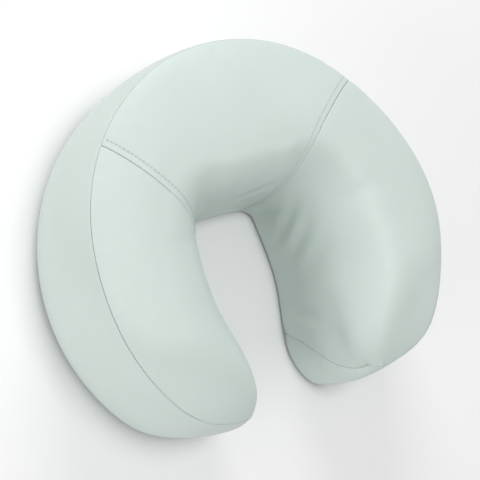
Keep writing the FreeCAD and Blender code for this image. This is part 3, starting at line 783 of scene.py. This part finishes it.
class Look:
    """A node material measured in metres, with short ways to add its detail."""

    def __init__(self, name, **sockets):
        self.material = bpy.data.materials.new(name)
        self.material.use_nodes = True
        self.tree = self.material.node_tree
        self.shader = self.tree.nodes["Principled BSDF"]
        for socket, value in sockets.items():
            self.shader.inputs[socket.replace("_", " ")].default_value = value
        self.place = self.add("ShaderNodeTexCoord").outputs["Object"]
        self.surface = None

    def add(self, kind, inputs=None, **settings):
        """A node with its settings, and its sockets linked or set."""
        node = self.tree.nodes.new(kind)
        for setting, value in settings.items():
            setattr(node, setting, value)
        for socket, value in (inputs or {}).items():
            if isinstance(value, bpy.types.NodeSocket):
                self.tree.links.new(value, node.inputs[socket])
            else:
                node.inputs[socket].default_value = value
        return node

    def noise(self, size, detail=2.0):
        """Soft noise whose patches are about this long."""
        sockets = {"Vector": self.place, "Scale": 1 / size, "Detail": detail}
        return self.add("ShaderNodeTexNoise", sockets).outputs["Fac"]

    def cells(self, size, feature="F1"):
        """Rounded cells of about this length."""
        sockets = {"Vector": self.place, "Scale": 1 / size}
        return self.add("ShaderNodeTexVoronoi", sockets, feature=feature).outputs["Distance"]

    def threads(self, pitch, axis):
        """Parallel ridges, a pitch apart, across one axis."""
        sockets = {"Vector": self.place, "Scale": 2 * math.pi / (WAVE_TURNS * pitch), "Distortion": 0.0}
        made = self.add("ShaderNodeTexWave", sockets, bands_direction=axis, wave_profile="SIN")
        return made.outputs["Fac"]

    def math(self, operation, a, b):
        """Two values put together."""
        return self.add("ShaderNodeMath", {0: a, 1: b}, operation=operation).outputs[0]

    def blend(self, a, share_a, b, share_b):
        """Two values added together, each by its share."""
        return self.math("ADD", self.math("MULTIPLY", a, share_a), self.math("MULTIPLY", b, share_b))

    def mixed(self, factor, low, high):
        """A colour between two, by a factor."""
        ramp = self.add("ShaderNodeValToRGB", {"Fac": factor})
        for element, place, colour in zip(ramp.color_ramp.elements, NOISE_RANGE, (low, high)):
            element.position = place
            element.color = (*colour, 1)
        return ramp.outputs["Color"]

    def colour(self, factor, pair):
        """Gives the surface a colour that drifts between two."""
        self.tree.links.new(self.mixed(factor, *pair), self.shader.inputs["Base Color"])

    def roughness(self, factor, low, high):
        """Gives the surface a roughness that drifts between two values."""
        start, stop = NOISE_RANGE
        sockets = {"Value": factor, "From Min": start, "From Max": stop, "To Min": low, "To Max": high}
        made = self.add("ShaderNodeMapRange", sockets)
        self.tree.links.new(made.outputs["Result"], self.shader.inputs["Roughness"])

    def bump(self, height, distance):
        """Raises the surface by a height, on top of any bump before it."""
        sockets = {"Height": height, "Distance": distance, "Strength": 1.0}
        if self.surface is not None:
            sockets["Normal"] = self.surface
        self.surface = self.add("ShaderNodeBump", sockets).outputs["Normal"]
        self.tree.links.new(self.surface, self.shader.inputs["Normal"])


def coated_fabric():
    """Smooth polyurethane leather: a soft sheen, a very fine grain and slow drifts of tone."""
    look = Look("cover_leather", Specular_IOR_Level=0.35, Coat_Weight=0.06, Coat_Roughness=0.35)
    tone = look.blend(look.noise(70 * MM, 3), 0.85, look.noise(0.9 * MM), 0.15)
    look.colour(tone, ((0.617, 0.70, 0.662), (0.652, 0.735, 0.70)))
    look.roughness(look.noise(4 * MM, 4), 0.42, 0.55)
    look.bump(look.noise(9 * MM, 2), 0.12 * MM)
    look.bump(look.cells(0.8 * MM), 0.05 * MM)
    look.bump(look.noise(0.3 * MM, 3), 0.02 * MM)
    return look.material


def woven(name, pair, pitch, roughness=0.8):
    """Plain woven cloth: threads over and under each other."""
    look = Look(name, Specular_IOR_Level=0.2, Sheen_Weight=0.25, Sheen_Roughness=0.5)
    warp = look.threads(pitch, "X")
    weft = look.threads(pitch, "Y")
    crossing = look.math("MULTIPLY", look.threads(2 * pitch, "X"), look.threads(2 * pitch, "Y"))
    over = look.math("GREATER_THAN", crossing, 0.25)
    under = look.math("SUBTRACT", 1.0, over)
    weave = look.math("MAXIMUM", look.math("MULTIPLY", warp, over), look.math("MULTIPLY", weft, under))
    look.colour(look.blend(weave, 0.6, look.noise(12 * MM, 4), 0.4), pair)
    look.roughness(look.noise(3 * MM), roughness - 0.08, roughness + 0.08)
    look.bump(weave, pitch * 0.35)
    look.bump(look.noise(pitch * 0.4, 3), pitch * 0.1)
    return look.material


def foam(name, pair, cell):
    """Open-cell foam: pits of uneven size."""
    look = Look(name, Specular_IOR_Level=0.1, Subsurface_Weight=0.1)
    pits = look.cells(cell)
    look.colour(look.math("MULTIPLY", look.math("ADD", pits, look.noise(20 * MM, 3)), 0.6), pair)
    look.roughness(look.noise(5 * MM), 0.85, 0.97)
    look.bump(pits, cell * 0.5)
    look.bump(look.cells(cell * 0.4), cell * 0.2)
    return look.material


def pile(name, pair):
    """Brushed loop pile: small tangled loops."""
    look = Look(name, Specular_IOR_Level=0.15, Sheen_Weight=0.5, Sheen_Roughness=0.4)
    loops = look.cells(0.7 * MM, "SMOOTH_F1")
    tangle = look.noise(0.5 * MM, 5)
    look.colour(look.blend(tangle, 0.7, look.noise(6 * MM), 0.3), pair)
    look.roughness(tangle, 0.8, 0.98)
    look.bump(loops, 0.5 * MM)
    look.bump(tangle, 0.25 * MM)
    return look.material


def twisted_thread(name, pair):
    """Sewing thread: fine strands that catch the light in turn."""
    look = Look(name, Specular_IOR_Level=0.3, Sheen_Weight=0.2)
    strands = look.noise(0.25 * MM, 3)
    look.colour(strands, pair)
    look.roughness(strands, 0.5, 0.7)
    look.bump(strands, 0.08 * MM)
    return look.material


def moulded(name, pair, metallic=0.0):
    """Moulded plastic or painted metal: a faint orange-peel skin and small scuffs."""
    look = Look(name, Metallic=metallic, Specular_IOR_Level=0.5)
    scuffs = look.noise(1.2 * MM, 6)
    look.colour(look.noise(5 * MM, 4), pair)
    look.roughness(scuffs, 0.28, 0.5)
    look.bump(look.noise(0.6 * MM, 2), 0.02 * MM)
    look.bump(scuffs, 0.01 * MM)
    return look.material


LOOKS = {
    "cover_leather": coated_fabric(),
    "base_fabric": woven("base_fabric", ((0.50, 0.58, 0.54), (0.62, 0.69, 0.65)), 0.7 * MM),
    "thread": twisted_thread("thread", ((0.52, 0.61, 0.57), (0.66, 0.74, 0.70))),
    "memory_foam": foam("memory_foam", ((0.80, 0.77, 0.66), (0.90, 0.88, 0.80)), 0.9 * MM),
    "firm_foam": foam("firm_foam", ((0.80, 0.80, 0.78), (0.92, 0.92, 0.90)), 1.4 * MM),
    "loop_pile": pile("loop_pile", ((0.66, 0.69, 0.67), (0.84, 0.86, 0.84))),
    "zip_tape": woven("zip_tape", ((0.52, 0.59, 0.56), (0.66, 0.72, 0.69)), 0.5 * MM, 0.75),
    "zip_plastic": moulded("zip_plastic", ((0.62, 0.69, 0.66), (0.70, 0.76, 0.73))),
    "zip_metal": moulded("zip_metal", ((0.58, 0.63, 0.60), (0.68, 0.73, 0.70)), 0.35),
}


# ------------------------ making the cushion

FOAM_INSET = 3.6 * MM
FOAM_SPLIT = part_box("foam_base")[1].z
FOAM_BOTTOM = 4.3 * MM
# The groove over the zip reaches past the tapes, and above the slider.
GROOVE_SPARE = 1 * MM
GROOVE_TOP = 8.2 * MM


def foam_body(cover_points, cover_faces, band_ids, top_ids):
    """The whole foam: the cover's inside, closed over the base."""
    loop = np.r_[band_ids[0], top_ids[-1, -2:0:-1]].tolist()
    whole = mesh_object("foam_body", cover_points, cover_faces + [loop])
    shape = bmesh.new()
    shape.from_mesh(whole.data)
    bmesh.ops.recalc_face_normals(shape, faces=shape.faces)
    shape.normal_update()
    moves = [v.normal * FOAM_INSET for v in shape.verts]
    for v, move in zip(shape.verts, moves):
        v.co -= move
    shape.to_mesh(whole.data)
    shape.free()
    return whole


def foam_layer(name, whole, low, high):
    """The part of the foam between two heights, as a closed block."""
    shape = bmesh.new()
    shape.from_mesh(whole.data)
    for height, up in ((low, -1), (high, 1)):
        if height is None:
            continue
        geometry = [*shape.verts, *shape.edges, *shape.faces]
        cut = bmesh.ops.bisect_plane(shape, geom=geometry, plane_co=(0, 0, height), plane_no=(0, 0, up),
                                     clear_outer=True)
        edges = [e for e in cut["geom_cut"] if isinstance(e, bmesh.types.BMEdge)]
        bmesh.ops.triangle_fill(shape, edges=edges, use_beauty=True, normal=(0, 0, up))
    bmesh.ops.recalc_face_normals(shape, faces=shape.faces)
    mesh = bpy.data.meshes.new(name)
    shape.to_mesh(mesh)
    shape.free()
    made = bpy.data.objects.new(name, mesh)
    bpy.context.scene.collection.objects.link(made)
    return made


def with_groove(piece, low, high):
    """The piece with a box cut out of it."""
    corners = [(x, y, z) for x in (low[0], high[0]) for y in (low[1], high[1]) for z in (low[2], high[2])]
    sides = [(0, 1, 3, 2), (4, 6, 7, 5), (0, 4, 5, 1), (2, 3, 7, 6), (0, 2, 6, 4), (1, 5, 7, 3)]
    cutter = mesh_object("groove_cutter", corners, sides)
    cut = piece.modifiers.new("groove", "BOOLEAN")
    cut.operation = "DIFFERENCE"
    cut.solver = "EXACT"
    cut.object = cutter
    seen = piece.evaluated_get(bpy.context.evaluated_depsgraph_get())
    mesh = bpy.data.meshes.new_from_object(seen)
    piece.modifiers.clear()
    piece.data = mesh
    bpy.data.objects.remove(cutter)
    return piece


def finish_piece(piece, slot, *nodes):
    """Ties a piece to the cushion, its material and slot, and the CAD nodes that it stands for."""
    piece.data.materials.clear()
    piece.data.materials.append(LOOKS[slot])
    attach(piece, "cushion")
    if nodes:
        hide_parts(*nodes)
    return piece


top, top_places, (left_seam, right_seam) = top_grid()
band = band_grid(top, top_places)
points, faces, top_ids, band_ids, held = welded(top, band)
points = settled(points, faces, held)
outward = point_normals(points, faces)
cover = Cover(points, outward, top_ids, band_ids, left_seam, right_seam)

for name in ("left_cheek", "right_cheek"):
    cheek = finish_piece(cover_panel(cover, name)[1], "cover_leather", name + "_panel")
brow_grid, brow = cover_panel(cover, "brow")
finish_piece(brow, "cover_leather", "brow_panel")
side = finish_piece(band_panel(cover), "cover_leather", "side_band")
for side_name, at_start in (("left", True), ("right", False)):
    row = topstitch(side_name + "_stitches", brow_grid, at_start)
    finish_piece(row, "thread", side_name + "_topstitch")

whole = foam_body(points, faces, band_ids, top_ids)
for name, slot, low, high in (("memory_foam", "memory_foam", FOAM_SPLIT, None),
                              ("foam_base", "firm_foam", FOAM_BOTTOM, FOAM_SPLIT)):
    layer = foam_layer(name + "_block", whole, low, high)
    if low == FOAM_BOTTOM:
        layer = with_groove(layer, (tapes_low.x - GROOVE_SPARE, tapes_low.y - GROOVE_SPARE, 0),
                            (tapes_high.x + GROOVE_SPARE, tapes_high.y + GROOVE_SPARE, GROOVE_TOP))
    layer = finish_piece(layer, slot, name)
bpy.data.objects.remove(whole)

BASE_STEP = 5 * MM
BORDER_STEP = 2.5 * MM
SLOT_HALF_LENGTH = 87 * MM
SLOT_HALF_WIDTH = 5 * MM
SLOT_CORNER = 2 * MM

foot = np.vstack([cover.foot, cover.foot[:1]])
foot_line = even_steps(foot, int(lengths(cover.foot)[-1] / BORDER_STEP))[:-1, :2]
zip_y = (tapes_low.y + tapes_high.y) / 2
slot_low = (-SLOT_HALF_LENGTH, zip_y - SLOT_HALF_WIDTH)
slot_high = (SLOT_HALF_LENGTH, zip_y + SLOT_HALF_WIDTH)
slot_outline = rounded_box(slot_low, slot_high, SLOT_CORNER, BORDER_STEP)
base = flat_piece("base_cover", foot_line, [slot_outline], BASE_STEP,
                  lambda p: np.full(len(p), BASE_Z), lambda p: np.full(len(p), BASE_Z + COVER))
finish_piece(base, "base_fabric", "base_panel")

# ------------------------ the strips, zip tapes and their stitches

DOWN = np.array([0, 0, -1])
PILE_DEPTH = 0.5 * MM
PILE_STEP = 1.4 * MM
STRIP_CORNER = 4 * MM
STRIP_STITCH_IN = 2.5 * MM
STRIP_STITCH_Z = PILE_DEPTH * 1.4
TAPE_CORNER = 0.8 * MM
TAPE_STEP = 1.2 * MM
TAPE_RIB = 0.08 * MM
SLOT_STITCH_OUT = 2.2 * MM
SLOT_STITCH_CORNER = 3 * MM
CLEARANCE = 0.02 * MM


def flat_stitches(name, low, high, corner, z):
    """Stitches round a rectangle on the underside, as a closed ring."""
    loop = rounded_box(low, high, corner, MM)
    ring = np.column_stack([np.vstack([loop, loop[:1]]), np.full(len(loop) + 1, z)])
    return stitches(name, ring, np.tile(DOWN, (len(ring), 1)))


for seed, name in enumerate(("left_loop_strip", "right_loop_strip", "crown_loop_strip"), SEED + 10):
    low, high = (np.array(corner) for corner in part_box(name))
    draw = np.random.default_rng(seed)
    edge = rounded_box(low[:2], high[:2], STRIP_CORNER, PILE_STEP)
    strip = flat_piece(name.replace("strip", "pile"), edge, [], PILE_STEP,
                       lambda p: PILE_DEPTH * draw.random(len(p)),
                       lambda p: np.full(len(p), BASE_Z - CLEARANCE))
    finish_piece(strip, "loop_pile", name)
    row = flat_stitches(name.replace("strip", "stitches"), low[:2] + STRIP_STITCH_IN,
                        high[:2] - STRIP_STITCH_IN, STRIP_CORNER / 2, STRIP_STITCH_Z)
    finish_piece(row, "thread")

for name in ("zip_tape_front", "zip_tape_rear"):
    low, high = (np.array(corner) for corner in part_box(name))
    edge = rounded_box(low[:2], high[:2], TAPE_CORNER, TAPE_STEP)
    tape = flat_piece(name.replace("zip_", "woven_"), edge, [], TAPE_STEP,
                      lambda p: low[2] + CLEARANCE + TAPE_RIB * (1 + np.sin(p[:, 0] / TAPE_STEP * 2)),
                      lambda p: np.full(len(p), high[2]))
    finish_piece(tape, "zip_tape", name)

row = flat_stitches("slot_stitches", slot_outline.min(0) - SLOT_STITCH_OUT,
                    slot_outline.max(0) + SLOT_STITCH_OUT, SLOT_STITCH_CORNER, BASE_Z)
finish_piece(row, "thread")

# CAD nodes that keep their own shape, by material.
KEPT_NODES = {
    "zip_plastic": ("zip_teeth_front", "zip_teeth_rear", "zip_top_stops", "zip_bottom_stop"),
    "zip_metal": ("zip_slider", "zip_pull"),
}
for slot, names in KEPT_NODES.items():
    for name in names:
        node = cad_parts[name]
        node.data.materials.clear()
        node.data.materials.append(LOOKS[slot])

# ------------------------ camera, light and floor

SKY = 0.45
# Name, place, size and power of each light.
LIGHTS = (
    ("top", (0.0, 0.0, 1.6), 0.5, 7.6),
    ("side", (-1.6, -0.3, 0.45), 0.9, 7.3),
    ("back", (0.3, 1.6, 0.9), 0.8, 13.5),
)
LIGHTS_AIM = (0, 0, 0.05)
FLOOR_SIZE = 6
FLOOR_Z = -0.2 * MM
FLOOR_COLOURS = ((0.95, 0.95, 0.95), (0.97, 0.97, 0.97))
VIEW = {"azimuth": -84.4, "elevation": 56.56, "roll": 66.77, "distance": 0.9435}
TARGET = Vector((0.00356, -0.00678, 0.03935))
LENS = 91.3
SENSOR = 36
NEAREST_SEEN = 0.01


def make_camera():
    """The camera at the object's three-quarter view, turned about its own axis."""
    azimuth, elevation, roll = (math.radians(VIEW[k]) for k in ("azimuth", "elevation", "roll"))
    level = math.cos(elevation)
    back = Vector((math.sin(azimuth) * level, -math.cos(azimuth) * level, math.sin(elevation)))
    right = Vector((math.cos(azimuth), math.sin(azimuth), 0))
    up = back.cross(right)
    across = right * math.cos(roll) + up * math.sin(roll)
    upright = up * math.cos(roll) - right * math.sin(roll)
    data = bpy.data.cameras.new("camera")
    data.lens = LENS
    data.sensor_width = SENSOR
    data.clip_start = NEAREST_SEEN
    made = bpy.data.objects.new("camera", data)
    turn = Matrix((across, upright, back)).transposed().to_4x4()
    made.matrix_world = Matrix.Translation(TARGET + back * VIEW["distance"]) @ turn
    bpy.context.scene.collection.objects.link(made)
    bpy.context.scene.camera = made


def area_light(name, place, aim, size, power):
    """A square soft light at a place, turned to another."""
    data = bpy.data.lights.new(name, "AREA")
    data.size = size
    data.energy = power
    made = bpy.data.objects.new(name, data)
    made.location = place
    made.rotation_euler = (Vector(aim) - Vector(place)).to_track_quat("-Z", "Y").to_euler()
    bpy.context.scene.collection.objects.link(made)


def make_surroundings():
    """A pale floor, an even pale sky and soft studio lights."""
    corners = [(x * FLOOR_SIZE, y * FLOOR_SIZE, FLOOR_Z) for x, y in ((-1, -1), (1, -1), (1, 1), (-1, 1))]
    floor = mesh_object("floor", corners, [(0, 1, 2, 3)])
    paint = Look("floor_paint", Roughness=0.9)
    paint.colour(paint.noise(400 * MM), FLOOR_COLOURS)
    floor.data.materials.append(paint.material)
    world = bpy.data.worlds.new("sky")
    world.use_nodes = True
    world.node_tree.nodes["Background"].inputs["Color"].default_value = (1, 1, 1, 1)
    world.node_tree.nodes["Background"].inputs["Strength"].default_value = SKY
    bpy.context.scene.world = world
    for name, place, size, power in LIGHTS:
        area_light(name, place, LIGHTS_AIM, size, power)
    bpy.context.scene.view_settings.view_transform = "Standard"


make_camera()
make_surroundings()
